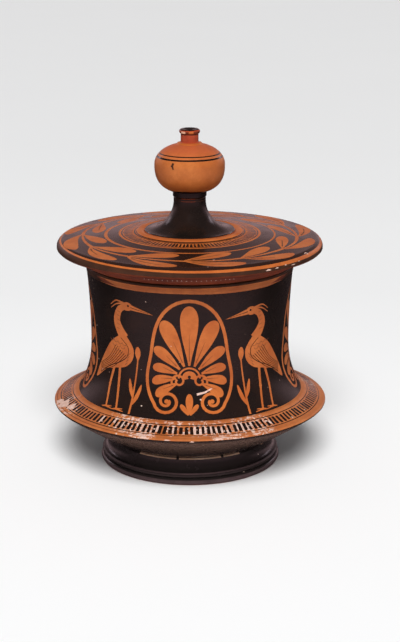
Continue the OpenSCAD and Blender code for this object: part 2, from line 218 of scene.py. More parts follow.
class Skin:
    """Vertices with normals and painted faces, gathered zone by zone"""

    def __init__(self):
        self.verts, self.normals, self.faces, self.paints = [], [], [], []

    def add(self, angle, place):
        r, z, out, up = place
        self.verts.append((r * math.sin(angle) * MM, -r * math.cos(angle) * MM, z * MM))
        self.normals.append(Vector((out * math.sin(angle), -out * math.cos(angle), up)).normalized())
        return len(self.verts) - 1

    def face(self, corners, paint):
        """A face without the corners that fall together on the axis"""
        kept = []
        for c in corners:
            if all((Vector(self.verts[c]) - Vector(self.verts[k])).length > 1e-8 for k in kept):
                kept.append(c)
        if len(kept) > 2:
            self.faces.append(kept)
            self.paints.append(paint)

    def bands(self, curve, *parts, step=1.2):
        """Turns a curve in bands: each part is (end, paint), the end a length or a function of the angle"""
        start = 0.0
        for end, paint in parts:
            low, high = as_function(start), as_function(end)
            count = max(1, math.ceil(abs(high(0.0) - low(0.0)) / step))
            rows = []
            for i in range(count + 1):
                row = []
                for j in range(SEGMENTS + 1):
                    angle = TURN * j / SEGMENTS - math.pi
                    row.append(self.add(angle, curve.at(low(angle) + (high(angle) - low(angle)) * i / count)))
                rows.append(row)
            for a, b in zip(rows, rows[1:]):
                for j in range(SEGMENTS):
                    here = paint(TURN * (j + 0.5) / SEGMENTS - math.pi) if callable(paint) else paint
                    self.face((a[j], a[j + 1], b[j + 1], b[j]), here)
            start = end

    def turned(self, points, paint, step=1.2):
        curve = Curve(points)
        self.bands(curve, (curve.length, paint), step=step)

    def facets(self, paint, *corners, step=1.2):
        """Turns a chain of straight lines, with a sharp edge at each corner"""
        for a, b in zip(corners, corners[1:]):
            self.turned([a, b], paint, step)

    def painted(self, curve, middle_r, ground, shapes, rows):
        """Unrolls a curve, lays the shapes on it in order, and keeps the topmost paint of each piece"""
        half = math.pi * middle_r
        columns = even(-half, half, SEGMENTS)
        field = [(u, rows[0]) for u in columns] + [(half, s) for s in rows[1:-1]]
        field += [(u, rows[-1]) for u in reversed(columns)] + [(-half, s) for s in reversed(rows[1:-1])]
        outlines, paints = [field], [ground]
        for outline, paint in shapes:
            left, right = min(p[0] for p in outline), max(p[0] for p in outline)
            for shift in (0.0, -2 * half if right > half else None, 2 * half if left < -half else None):
                if shift is not None:
                    outlines.append([(p[0] + shift, p[1]) for p in outline])
                    paints.append(paint)
        verts, faces = [], []
        for outline in outlines:
            faces.append(list(range(len(verts), len(verts) + len(outline))))
            area = sum(a[0] * b[1] - b[0] * a[1] for a, b in zip(outline, outline[1:] + outline[:1]))
            verts += [Vector(p) for p in (outline if area > 0 else reversed(outline))]
        verts += [Vector((u, s)) for s in rows[1:-1] for u in columns[1:-1]]
        cut = delaunay_2d_cdt(verts, [], faces, 0, 1e-5, True)
        places = [self.add(v.x / middle_r, curve.at(v.y)) for v in cut[0]]
        for corners, sources in zip(cut[2], cut[5]):
            if 0 in sources:
                self.face([places[c] for c in corners], paints[max(sources)])

    def build(self, name, body, node):
        mesh = bpy.data.meshes.new(name)
        mesh.from_pydata(self.verts, [], self.faces)
        paints = list(dict.fromkeys(self.paints))
        for paint in paints:
            mesh.materials.append(MATERIALS[paint])
        for polygon, paint in zip(mesh.polygons, self.paints):
            polygon.material_index = paints.index(paint)
            polygon.use_smooth = True
        mesh.normals_split_custom_set_from_vertices(self.normals)
        piece = bpy.data.objects.new(name, mesh)
        bpy.context.scene.collection.objects.link(piece)
        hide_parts(node)
        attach(piece, body)


# Drawing on an unrolled zone: every motif is a list of (outline, paint), in painting order


def leaf(length, half, base, fullest, bend, turn, at, count=9):
    """Outline of a petal or leaf with a narrow base and a rounded tip, bent sideways along its length"""
    upper, lower = [], []
    for i in range(count + 1):
        t = fullest * i / count
        width = base + (half - base) * math.sin(math.pi / 2 * t / fullest) ** 1.3
        upper.append((length * t, bend * t * t + width))
        lower.append((length * t, bend * t * t - width))
    for i in range(1, count):
        a = math.pi / 2 * i / count
        t = fullest + (1 - fullest) * math.sin(a)
        upper.append((length * t, bend * t * t + half * math.cos(a)))
        lower.append((length * t, bend * t * t - half * math.cos(a)))
    outline = upper + [(length, bend)] + lower[::-1]
    return [move(p, turn, at) for p in outline]


def move(point, turn, at):
    c, s = math.cos(turn), math.sin(turn)
    return at[0] + point[0] * c - point[1] * s, at[1] + point[0] * s + point[1] * c


def smooth(points, steps=6, closed=False):
    """Points on a smooth curve through the given ones"""
    count = len(points)
    out = []
    for i in range(count if closed else count - 1):
        p = [points[(i + k) % count] if closed else points[min(max(i + k, 0), count - 1)] for k in (-1, 0, 1, 2)]
        for j in range(steps):
            t = j / steps
            out.append(tuple(0.5 * (2 * p[1][n] + (p[2][n] - p[0][n]) * t
                                    + (2 * p[0][n] - 5 * p[1][n] + 4 * p[2][n] - p[3][n]) * t * t
                                    + (3 * p[1][n] - p[0][n] - 3 * p[2][n] + p[3][n]) * t ** 3)
                             for n in (0, 1)))
    return out if closed else out + [points[-1]]


def stroke(path, widths, paint):
    """A brush line as a chain of four-sided pieces; widths are one width or one at each end"""
    first, last = widths if isinstance(widths, tuple) else (widths, widths)
    sides = []
    for i, p in enumerate(path):
        a, b = path[max(0, i - 1)], path[min(len(path) - 1, i + 1)]
        size = math.dist(a, b) or 1.0
        half = (first + (last - first) * i / (len(path) - 1)) / 2
        across = (-(b[1] - a[1]) / size * half, (b[0] - a[0]) / size * half)
        sides.append(((p[0] + across[0], p[1] + across[1]), (p[0] - across[0], p[1] - across[1])))
    return [([a[0], a[1], b[1], b[0]], paint) for a, b in zip(sides, sides[1:])]


def disc(centre, rx, ry, paint, count=16, turn=0.0):
    points = [around((0.0, 0.0), TURN * i / count, rx, ry) for i in range(count)]
    return [([move(p, turn, centre) for p in points], paint)]


def spiral(centre, start, turns, outer, inner, count=30):
    """Points of a spiral from its outer end inwards; start in degrees, turns signed"""
    return [around(centre, math.radians(start) + TURN * turns * t, outer + (inner - outer) * t)
            for t in even(0, 1, count)]


def placed(shapes, at, mirror=False, scale=1.0):
    sign = -scale if mirror else scale
    return [([(at[0] + sign * x, at[1] + scale * y) for x, y in outline], paint) for outline, paint in shapes]


def ring_band(middle_r, low, high, paint, start=-math.pi, end=math.pi):
    """A band round the pot between two borders, each a length or a function of the angle"""
    low, high = as_function(low), as_function(high)
    extra = 0.02 if end - start > 6 else 0.0
    angles = even(start - extra, end + extra, max(4, round((end - start) * 24)))
    outline = [(a * middle_r, low(a)) for a in angles] + [(a * middle_r, high(a)) for a in reversed(angles)]
    return [(outline, paint)]


def ring_line(middle_r, low, high, paint, seed, shake=0.12):
    """A line painted round the pot while it turned, with an unsteady width"""
    return ring_band(middle_r, shaken(low, seed, shake), shaken(high, seed + 50, shake), paint)


def chip(centre, rx, ry, seed, count=11):
    """A flake with a ragged outline"""
    rng = random.Random(seed)
    reaches = [rng.uniform(0.5, 1.0) for _ in range(count)]
    return [([around(centre, TURN * i / count, rx * k, ry * k) for i, k in enumerate(reaches)], WORN)]


def chips(middle_r, places, seed):
    """Flakes at places given as (degrees from the front, length along the outline, half width, half height)"""
    shapes = []
    for i, (degrees, at, rx, ry) in enumerate(places):
        shapes += chip((math.radians(degrees) * middle_r, at), rx, ry, seed + i)
    return shapes


def worn_gaps(middle_r, low, high, count, spans, seed):
    """Pale flakes in the gaps of a row of tongues, within spans of degrees"""
    rng = random.Random(seed)
    pitch = TURN * middle_r / count
    shapes = []
    for i in range(count):
        u = -math.pi * middle_r + pitch * i
        degrees = math.degrees(u / middle_r)
        share = max((chance for first, last, chance in spans if first < degrees < last), default=0.0)
        if rng.random() < share:
            half = pitch * rng.uniform(0.24, 0.5)
            top, bottom = high + rng.uniform(-1.2, 0.5), low + rng.uniform(-0.6, 1.2)
            if rng.random() < 0.4:
                left_over = (top - bottom) * rng.uniform(0.35, 0.7)
                if rng.random() < 0.4:
                    bottom = top - left_over
                else:
                    top = bottom + left_over
            left = [(u - half * rng.uniform(0.35, 1.1), y) for y in even(bottom, top, 6)]
            right = [(u + half * rng.uniform(0.35, 1.1), y) for y in even(top, bottom, 6)]
            shapes.append((left[::-1] + right[::-1], WORN))
    return shapes


def nibbles(middle_r, low, high, spans, seed):
    """Small flakes over tongues and gaps alike, within spans of degrees"""
    rng = random.Random(seed)
    shapes = []
    for first, last, chance in spans:
        for i in range(round((last - first) * chance * 0.55)):
            centre = (math.radians(rng.uniform(first, last)) * middle_r, rng.uniform(low - 0.6, high + 0.4))
            shapes += chip(centre, rng.uniform(0.35, 0.9), rng.uniform(0.25, 0.75), seed + 1000 + i)
    return shapes


def tongues(middle_r, low, high, count, width, seed, lean=0.25, taper=1.0):
    """A row of short black strokes, each a little different; taper is the width at high against that at low"""
    rng = random.Random(seed)
    pitch = TURN * middle_r / count
    shapes = []
    for i in range(count):
        u = -math.pi * middle_r + pitch * (i + 0.5) + rng.uniform(-0.07, 0.07) * pitch
        tilt = rng.uniform(-lean, lean)
        half = width / 2 * rng.uniform(0.82, 1.12)
        top, bottom = high + rng.uniform(-0.3, 0.25), low + rng.uniform(-0.15, 0.3)
        middle, thin = (half + half * taper) / 2 * rng.uniform(0.85, 1.0), half * taper
        shapes.append(([(u - half * 0.6, bottom), (u + half * 0.7, bottom), (u + half, bottom + half * 0.5),
                        (u + middle + tilt / 2, (top + bottom) / 2), (u + thin + tilt, top - half * 0.5),
                        (u + thin * 0.5 + tilt, top), (u - thin * 0.5 + tilt, top),
                        (u - thin + tilt, top - half * 0.5), (u - middle + tilt / 2, (top + bottom) / 2),
                        (u - half, bottom + half * 0.5)], BLACK))
    return shapes


def palmette():
    """Upright palmette of eleven petals in a pointed frame that ends in two spirals below"""
    heart, heart_r, petals = (0.0, 17.5), 5.6, 11

    def frame_r(angle):
        return 18.5 + 16.0 * max(0.0, math.sin(angle)) ** 4

    shapes = []
    for side in (1, -1):
        line = [around(heart, a, side * frame_r(a), frame_r(a)) for a in map(math.radians, even(90, -38, 30))]
        centre, end = (side * 9.3, 7.3), line[-1]
        start = math.degrees(math.atan2(end[1] - centre[1], end[0] - centre[0]))
        line += spiral(centre, start, -1.55 * side, math.dist(end, centre), 0.9)[1:]
        shapes += stroke(line, (1.5, 1.15), CLAY)
        shapes += disc(centre, 0.95, 0.95, CLAY)
        shapes += stroke(spiral((side * 4.6, 16.2), 200 if side < 0 else -20, 1.2 * side, 3.1, 0.8, 18), 0.9, CLAY)
    for angle in map(math.radians, even(-24, 204, petals - 1)):
        length = frame_r(angle) - 2.3 - heart_r
        half = 0.385 * math.radians(228 / (petals - 1)) * (heart_r + 0.74 * length)
        petal = leaf(length, half, 0.45, 0.76, -1.5 * math.cos(angle), angle, around(heart, angle, heart_r))
        shapes.append((petal, CLAY))
        shapes += stroke([around(heart, angle, r) for r in (7.5, 7.5 + length * 0.45)], (0.35, 0.12), DILUTE)
    shapes += stroke(spiral(heart, 0, 0.5, 4.5, 4.5, 16), 0.8, CLAY)
    shapes.append(([heart] + [around(heart, a, 3.2) for a in even(-0.25, math.pi + 0.25, 14)], CLAY))
    shapes += disc((heart[0], heart[1] + 0.6), 0.7, 0.7, BLACK)
    shapes.append((leaf(8.6, 1.5, 0.5, 0.62, 0.0, math.pi / 2, (0.0, 2.2)), CLAY))
    for side in (1, -1):
        shapes.append((leaf(5.6, 0.95, 0.35, 0.66, 0.0, math.pi / 2 - 0.62 * side, (0.3 * side, 1.7)), CLAY))
    return shapes


def heron(reach):
    """Wading bird that faces right, with its feathers drawn in fine lines; reach lifts or lowers the head"""
    shapes = []
    for hip, knee, foot in LEGS:
        shapes += stroke(smooth([hip, knee, foot], 5), (1.5, 0.85), CLAY)
        shapes += disc(knee, 0.75, 0.75, CLAY, 10)
        for toe in TOES:
            shapes += stroke([(foot[0] - 0.3, foot[1]), (foot[0] + toe[0], foot[1] + toe[1])], (0.8, 0.35), CLAY)
    shapes.append((smooth(BODY, 5, True), CLAY))
    x, y = head = (5.6, 46.2 + reach)
    neck = smooth([(3.4, 32.8), (0.6, 36.4 + 0.2 * reach), (-0.6, 40.2 + 0.5 * reach), (1.4, 44.4 + 0.9 * reach),
                   (x - 0.6, y)], 6)
    shapes += stroke(neck, (5.2, 2.3), CLAY)
    shapes += disc(head, 2.7, 1.95, CLAY, 16, 0.1)
    shapes.append(([(x + 1.4, y + 1.3), (x + 1.6, y - 1.4), (x + 12.6, y - 2.4)], CLAY))
    for drop in (0.0, -1.6):
        crest = smooth([(x - 1.6, y + 1.2), (x - 6.0, y + 1.8 + drop), (x - 9.6, y - 0.6 + drop)], 5)
        shapes += stroke(crest, (0.9, 0.25), CLAY)
    return shapes + feathers(head)


def feathers(head):
    """Fine lines on the bird: eye and bill, wing and its quills, and small strokes on shoulder, neck and breast"""
    fine = 0.26
    shapes = disc((head[0] + 0.6, head[1] + 0.35), 0.55, 0.5, BLACK, 10)
    shapes += stroke([(head[0] + 1.9, head[1] - 0.2), (head[0] + 10.6, head[1] - 1.9)], (0.32, 0.15), BLACK)
    shapes += stroke(smooth(WING, 6), (0.32, 0.42), BLACK)
    for t in even(0, 1, 6):
        start, end = (4.2 - 6.2 * t, 25.2 + 3.4 * t), (-12.8 - 0.4 * t, 14.8 + 3.2 * t)
        bow = ((start[0] + end[0]) / 2 + 1.0, (start[1] + end[1]) / 2 - 1.2 + 0.4 * t)
        shapes += stroke(smooth([start, bow, end], 6), (0.3, 0.22), BLACK)
    for row in range(3):
        for k in range(4 - row):
            centre = (3.4 - 2.5 * k - 1.1 * row, 30.4 - 1.7 * row + 0.35 * k)
            arch = [around(centre, a, 1.2, -1.1) for a in even(0.15, math.pi - 0.15, 6)]
            shapes += stroke(arch, fine, DILUTE)
    for k in range(5):
        x, y = 0.25 * k, 37.0 + 1.9 * k
        shapes += stroke([(x - 0.9, y), (x + 0.7, y - 0.5)], fine, DILUTE)
    for k in range(4):
        x = 6.6 - 0.6 * k
        shapes += stroke([(x, 26.6 - 1.6 * k), (x - 1.3, 25.2 - 1.5 * k)], fine, DILUTE)
    return shapes


def reed(height, lean):
    """Water plant beside a bird: a stalk, two blades and a bud"""
    top = (lean, height)
    shapes = stroke(smooth([(0.0, 0.0), (lean * 0.2, height * 0.5), top], 6), (1.0, 0.7), CLAY)
    shapes.append((leaf(6.4, 1.5, 0.5, 0.5, 0.0, math.pi / 2, (top[0], top[1] - 0.5), 7), CLAY))
    for side, start, length in ((1, 0.16, 11.0), (-1, 0.3, 9.0)):
        shapes.append((leaf(length, 0.95, 0.4, 0.45, 1.6 * side, math.pi / 2 - 0.5 * side,
                            (lean * start * start, height * start), 7), CLAY))
    return shapes


def wall_frieze():
    """Palmettes on the four quarters and a heron in each space, turned to the palmettes in front and behind"""
    shapes, scale = [], 1.1
    pitch = TURN / 4 * WAIST_R
    for k in range(4):
        shapes += placed(palmette(), ((k - 2) * pitch, 0.9), scale=scale)
    for k, lift in enumerate((0.0, 1.2, -0.6, 0.8)):
        side, middle = (-1 if k in (0, 2) else 1), (k - 1.5) * pitch
        shapes += placed(heron(lift), (middle + 1.5 * side, 0.7), side < 0, scale)
        shapes += placed(reed(27.0, 1.5), (middle + 11.5 * side, 0.7), side < 0)
    return shapes


def wreath(middle_r, middle_s, sign, count=12):
    """Laurel wreath: a stem in short lengths, and an inner and an outer leaf at each of its nodes"""
    rng = random.Random(21)
    pitch = TURN * middle_r / count
    shapes, sways = [], [rng.uniform(-0.7, 0.7) for _ in range(count)]
    for i in range(count):
        u = -math.pi * middle_r + pitch * (i + 0.93)
        here, after = sways[i], sways[(i + 1) % count]
        stem = smooth([(u - 0.8, here), (u + pitch * 0.5, (here + after) / 2 + rng.uniform(-0.4, 0.4)),
                       (u + pitch + 0.4, after)], 8)
        shapes += stroke(stem, (0.9, 1.8), CLAY)
        for side in (1, -1):
            length = pitch * rng.uniform(0.88, 0.98)
            half = rng.uniform(3.1, 3.7)
            turn, bend = side * rng.uniform(0.42, 0.5), -side * rng.uniform(4.2, 5.4)
            root = (u + rng.uniform(-0.8, 0.8), here + side * 0.8)
            gap = (root[0] - 0.7, root[1])
            shapes.append((leaf(length + 1.7, half + 1.05, 0.9, 0.66, bend, turn, gap), BLACK))
            shapes.append((leaf(length, half, 0.5, 0.66, bend, turn, root), CLAY))
            if rng.random() < 0.7:
                line = [move((length * t, bend * t * t), turn, root) for t in even(0.12, rng.uniform(0.5, 0.8), 6)]
                shapes += stroke(line, (0.6, 0.35), BROWN)
        shapes += stroke(stem[:-1], (0.8, 1.4), CLAY)
        shapes += disc((u, here), 1.2, 1.0, CLAY, 12)
    return [([(x, middle_s + y * sign) for x, y in outline], paint) for outline, paint in shapes]


# Turned members


def make_foot():
    skin = Skin()
    skin.facets(WASH, (REST_IN_R, ARRIS), (REST_IN_R + ARRIS, 0), (FOOT_R - TORUS_R, 0))
    torus = Curve(arc((FOOT_R - TORUS_R, TORUS_R), TORUS_R, -90, 60, 24))
    # The torus's upper part is pale grey-violet: a painted highlight on gloss that is also rubbed there
    skin.bands(torus, (shaken(torus.length * 0.3, 3, 0.25), WASH), (torus.length * 0.86, RUBBED_AND_HIGHLIGHT),
               (torus.length, BLACK), step=0.35)
    groove = (FOOT_R - TORUS_R / 2 - FOOT_GROOVE, 2 * TORUS_R + FOOT_GAP / 2)
    bead = arc((FOOT_R - BEAD_IN - BEAD_HALF, BEAD_Z), BEAD_HALF, -60, 70, 24)
    skin.facets(BLACK, torus.points[-1], groove, bead[0])
    neck, joint = (FOOT_NECK_R, FOOT_H - JOINT_GROOVE), (FOOT_NECK_R - JOINT_GROOVE, FOOT_H)
    scotia = Curve(bead + quarter(bead[-1], neck, 24)[1:])
    crest = BEAD_HALF * math.radians(130)
    # A pale grey-violet line along the bead's crest: a painted highlight on gloss that is also rubbed there
    skin.bands(scotia, (shaken(crest * 0.68, 4, 0.15), BLACK), (shaken(crest + 0.1, 5, 0.15), RUBBED_AND_HIGHLIGHT),
               (scotia.length, BLACK), step=0.4)
    skin.facets(joint_paint, neck, joint)
    skin.facets(CLAY, joint, (FOOT_IN_R, FOOT_H))
    skin.facets(WASH, (FOOT_IN_R, FOOT_H), (REST_IN_R, ARRIS))
    skin.build("ring_foot_turned", "box", "ring_foot")


def joint_paint(angle):
    """The groove at the foot's joint stayed free of black in a few lengths only"""
    return PALE if any(first < math.degrees(angle) < last for first, last in BARE_JOINT) else BLACK


def make_bowl():
    skin = Skin()
    joint = (FOOT_NECK_R - JOINT_GROOVE, FOOT_H)
    skin.turned(dish(FOOT_H, FLOOR_HOLLOW, 0, FOOT_IN_R, 16), WASH, 3)
    skin.facets(CLAY, (FOOT_IN_R, FOOT_H), joint)
    skin.facets(BLACK, joint, (FOOT_NECK_R, under_z(FOOT_NECK_R)))
    skin.turned([(r, under_z(r)) for r in even(FOOT_NECK_R, WALL_BASE_R, 40)], BLACK)
    skin.facets(CLAY, (WALL_BASE_R, under_z(WALL_BASE_R)), (WALL_BASE_R, WALL_Z), (INNER_BASE_R, WALL_Z), step=4)
    flat_r, floor_z = INNER_BASE_R - FLOOR_BEND_R, FOOT_H + FLOOR_T
    bend = arc((flat_r, floor_z + FLOOR_BEND_R), FLOOR_BEND_R, 0, -90, 24)
    skin.turned(bend + dish(floor_z, FLOOR_HOLLOW, flat_r, 0, 16)[1:], BLACK, 2)
    skin.build("floor_bowl_turned", "box", "floor_bowl")


def make_flange():
    skin = Skin()
    skin.turned([(r, under_z(r)) for r in even(WALL_BASE_R, FLANGE_LOW_R, 30)], BLACK)
    half = FLANGE_EDGE_T / 2
    edge = arc((FLANGE_TOP_OUT_R, FLANGE_EDGE_Z - half), half, -20, 90, 24)
    skin.facets(BLACK, (FLANGE_LOW_R, FLANGE_LOW_Z), edge[0], step=0.4)
    top = Curve(edge + [(r, flange_top_z(r)) for r in even(FLANGE_TOP_OUT_R, FLANGE_TOP_IN_R, 60)][1:])
    edge_s, at = half * math.radians(110), partial(top.where, 0)
    middle_r, count, row = FLANGE_MIDDLE_R, 152, (FLANGE_MIDDLE_R, at(63.95), at(59.45))
    shapes = ring_band(middle_r, BELOW, shaken(edge_s * 0.26, 7, 0.2), BLACK)
    shapes += ring_band(middle_r, shaken(at(66.75), 35, 0.1), shaken(at(66.4), 36, 0.1), DILUTE,
                        math.radians(-112), math.radians(-24))
    shapes += ring_line(middle_r, at(64.9), at(64.45), BLACK, 31)
    shapes += worn_gaps(*row, count, WORN_TONGUES, 34)
    shapes += tongues(*row, count, 1.72, 32)
    shapes += nibbles(*row, WORN_TONGUES, 37)
    shapes += ring_line(middle_r, at(58.95), at(58.55), BLACK, 33, 0.08)
    shapes += chips(middle_r, [(d, at(r), rx, ry) for d, r, rx, ry in FLANGE_CHIPS], 300)
    skin.painted(top, middle_r, CHALKY, shapes, even(0.0, edge_s, 7)[:-1] + even(edge_s, top.length, 6))
    inner = (WALL_BASE_R, WALL_Z)
    skin.facets(CHALKY, (FLANGE_TOP_IN_R, flange_top_z(FLANGE_TOP_IN_R)),
                (FLANGE_TOP_IN_R - ARRIS, WALL_Z - ARRIS / 2), inner)
    skin.facets(CLAY, inner, (WALL_BASE_R, under_z(WALL_BASE_R)), step=4)
    skin.build("flange_painted", "box", "projecting_flange")


def side_shade_share(angle, begin):
    """Share of the band at the mouth covered by painted shade from the lid's overhang: none in front and behind, all
    of it at both sides
    """
    away = abs(math.degrees(angle) - 3)
    return max(0.0, min(1.0, (away - begin) / 14, (180 - begin - away) / 14))


# Brown where painted shade covers the band at the mouth's sides, clay elsewhere
def band_paint_with_side_shade(angle):
    return BROWN if side_shade_share(angle, 52) > 0.5 else CLAY


def make_wall():
    skin = Skin()
    outer = Curve([(wall_r(z), z) for z in even(WALL_Z, BAND_Z, 120)])
    shapes = wall_frieze()
    scratch = [(math.radians(d) * WAIST_R, outer.where(1, z)) for d, z in ((4.0, 48.4), (8.4, 49.3), (12.3, 51.0))]
    shapes += stroke(scratch, (1.1, 0.6), WORN)
    rng = random.Random(14)
    marks = [(6.0, 46.1, 0.55), (-73.0, 85.2, 0.5), (-66.0, 73.7, 0.45), (-23.8, 92.4, 0.3), (-10.0, 71.5, 0.35)]
    marks += [(rng.uniform(-180, 180), rng.uniform(38, 97), rng.uniform(0.13, 0.3)) for _ in range(46)]
    shapes += chips(WAIST_R, [(d, outer.where(1, z), size, size * 0.8) for d, z, size in marks], 400)
    border, ragged = wobble(15, 0.45, 11), wobble(16, 0.2, 23)
    # At both sides the clay strip at the top of the wall gives way to painted shade
    shapes += ring_band(WAIST_R, lambda a: outer.length - (0.6 + border(a)) * (1 - 1.2 * side_shade_share(a, 44)),
                        outer.length + 1.0, CLAY)
    skin.painted(outer, WAIST_R, BLACK, shapes, even(0.0, outer.length, 28))
    step_end, band_top = (BAND_R, BAND_Z + ARRIS / 2), (BAND_R, RIM_Z - RIM_BEAD_H)
    # The band at the mouth and the rim bead's lower edge turn brown at both sides as painted shade
    skin.facets(band_paint_with_side_shade, (MOUTH_R, BAND_Z), step_end)
    band, shapes = Curve([step_end, band_top]), []
    # Painted shade over the band at the sides: red-brown where it begins, brown further round
    for begin, paint in ((44, WASH), (53, BROWN)):
        shapes += ring_band(BAND_R, BELOW, lambda a: 2.6 * side_shade_share(a, begin) - 0.3 + ragged(a), paint)
    skin.painted(band, BAND_R, CLAY, shapes, even(0.0, band.length, 2))
    half = RIM_BEAD_H / 2
    rim = Curve(arc((RIM_FLAT_R, RIM_Z - half), half, -60, 90, 24))
    skin.facets(band_paint_with_side_shade, band_top, rim.points[0])
    skin.bands(rim, (shaken(rim.length * 0.16, 11, 0.15), band_paint_with_side_shade), (rim.length, BROWN), step=0.35)
    skin.facets(CLAY, (RIM_FLAT_R, RIM_Z), (inner_r(RIM_Z), RIM_Z))
    inner = Curve([(inner_r(z), z) for z in even(RIM_Z, WALL_Z, 90)])
    skin.bands(inner, (shaken(1.6, 12, 0.5), CLAY), (inner.length, BLACK), step=2)
    skin.facets(CLAY, (INNER_BASE_R, WALL_Z), (WALL_BASE_R, WALL_Z), step=4)
    skin.build("drum_wall_painted", "box", "drum_wall")


def make_locating_ring():
    skin = Skin()
    low = LOCATING_LOW_Z
    skin.facets(CLAY, (LOCATING_IN_R, LID_UNDER_Z), (LOCATING_IN_R, low + ARRIS), (LOCATING_IN_R + ARRIS, low),
                (LOCATING_LOW_R - ARRIS, low), (LOCATING_LOW_R, low + ARRIS), (LOCATING_TOP_R, RIM_Z),
                (LOCATING_TOP_R, LID_UNDER_Z), step=3)
    skin.build("locating_ring_turned", "lid", "locating_ring")


def make_seat():
    skin = Skin()
    skin.facets(CLAY, (LOCATING_TOP_R, RIM_Z), (RIM_FLAT_R, RIM_Z), step=4)
    strip_low = (STRIP_R, RIM_Z + SEAT_H / 2)
    curve = Curve(quarter((RIM_FLAT_R, RIM_Z), strip_low, 40))
    dots_s, dots = curve.where(1, 104.3), 150
    rng = random.Random(41)
    shapes = ring_line(SEAT_MIDDLE_R, 0.0, 1.1, BLACK, 42)
    for i in range(dots):
        degrees = -180 + 360 / dots * (i + 0.5)
        at = (math.radians(degrees) * SEAT_MIDDLE_R + rng.uniform(-0.2, 0.2), dots_s + rng.uniform(-0.1, 0.1))
        half = rng.uniform(0.2, 0.36)
        if -24 < degrees < 24 or 60 < degrees < 130 or degrees < -110:
            shapes += disc(at, half, 0.14, WORN, 8)
    skin.painted(curve, SEAT_MIDDLE_R, WASH, shapes, even(0.0, curve.length, 8))
    skin.facets(WASH, strip_low, (STRIP_R, LID_UNDER_Z), step=1)
    skin.build("seat_moulding_turned", "lid", "seat_moulding")


def make_lid():
    skin = Skin()
    bevel = 2 * ARRIS
    edge_low = (LID_R, LID_UNDER_Z + bevel)
    skin.turned(dish(LID_UNDER_Z, PLATFORM_Z - CROWN_T - LID_UNDER_Z, 0, LOCATING_IN_R, 20), CLAY, 3)
    skin.facets(CLAY, (LOCATING_IN_R, LID_UNDER_Z), (STRIP_R, LID_UNDER_Z), step=3)
    skin.facets(WASH, (STRIP_R, LID_UNDER_Z), (LID_R - bevel, LID_UNDER_Z), step=3)
    skin.facets(WASH, (LID_R - bevel, LID_UNDER_Z), edge_low)
    edge = [edge_low] + arc((LID_TOP_R, LID_EDGE_Z - EDGE_ROUND), EDGE_ROUND, 0, 90, 40)
    edge_s = Curve(edge).length
    top = Curve(edge + [(r, dome_z(r)) for r in even(LID_TOP_R, PLATFORM_R, 120)][1:])
    middle_r, at = LID_MIDDLE_R, partial(top.where, 0)
    shapes = wreath(middle_r, at(52.3), -1) + rim_line(middle_r)
    shapes += ring_band(middle_r, shaken(at(41.9), 53, 0.12), lambda a: at(40.3) - 0.4 * (1 + math.sin(a)), CLAY)
    shapes += ring_band(middle_r, shaken(at(34.8), 54, 0.15), at(26.3), CLAY)
    shapes += tongues(middle_r, at(32.6), at(27.9), 112, 2.3, 55, 0.4, 0.7)
    shapes += ring_line(middle_r, at(33.6), at(32.9), BLACK, 56)
    shapes += ring_line(middle_r, at(27.35), at(26.6), BLACK, 57, 0.1)
    shapes += chips(middle_r, LID_CHIPS, 500)
    skin.painted(top, middle_r, BLACK, shapes, even(0.0, edge_s, 14)[:-1] + even(edge_s, top.length, 17))
    skin.facets(CLAY, (PLATFORM_R, PLATFORM_Z), (CORE_R, PLATFORM_Z), step=6)
    skin.build("lid_painted", "lid", "lid_plate")


def rim_line(middle_r):
    """The lid's rim: brown edge below, and a reserved line that wanders up and down on the rounding"""
    def on_round(a, share):
        middle = 52.5 - 10.5 * math.sin(a) - 20.5 * math.cos(a)
        return 0.7 + EDGE_ROUND * math.radians(middle + share * (11.5 + 4 * math.sin(a)))
    low, high = wobble(51, 0.18), wobble(52, 0.18)
    shapes = ring_band(middle_r, BELOW, lambda a: on_round(a, -1) + 0.2, BROWN)
    return shapes + ring_band(middle_r, lambda a: on_round(a, -1) + low(a), lambda a: on_round(a, 1) + high(a), CLAY)


def make_collar():
    skin = Skin()
    middle = (STEM_FOOT_R + COLLAR_W / 2, PLATFORM_Z)
    collar = Curve([around(middle, a, COLLAR_W / 2, COLLAR_H) for a in even(0, math.pi, 24)])
    skin.bands(collar, (0.4, BLACK), (collar.length, CLAY), step=0.4)
    skin.build("stem_collar_turned", "lid", "stem_collar")


def streak_paint(angle):
    """Brown streaks under the knob, where a cloth rubbed the gloss"""
    return WASH if math.sin(3 * angle + 1.9) > 0.2 else BROWN


def make_stem():
    skin = Skin()
    low = (STEM_FOOT_R, PLATFORM_Z + STEM_EDGE_H - ARRIS)
    foot_edge = (STEM_FOOT_R - ARRIS, PLATFORM_Z + STEM_EDGE_H)
    neck, neck_top = (STEM_NECK_R, STEM_TOP_Z - STEM_NECK_H), (STEM_NECK_R, STEM_TOP_Z - ARRIS)
    skin.facets(CLAY, (STEM_FOOT_R, PLATFORM_Z), low, step=0.4)
    skin.facets(BLACK, low, foot_edge)
    flare = Curve(quarter(foot_edge, neck, 60) + [neck_top])
    streak = flare.where(1, 131.9)
    skin.bands(flare, (streak - 0.15, BLACK), (streak + 0.15, streak_paint), (flare.length, BLACK), step=0.6)
    skin.facets(streak_paint, neck_top, (NOTCH_R, STEM_TOP_Z))
    skin.facets(CLAY, (NOTCH_R, STEM_TOP_Z), (CORE_R, STEM_TOP_Z), step=4)
    skin.facets(CLAY, (CORE_R, STEM_TOP_Z), (CORE_R, PLATFORM_Z), step=6)
    skin.build("knob_stem_turned", "lid", "knob_stem")


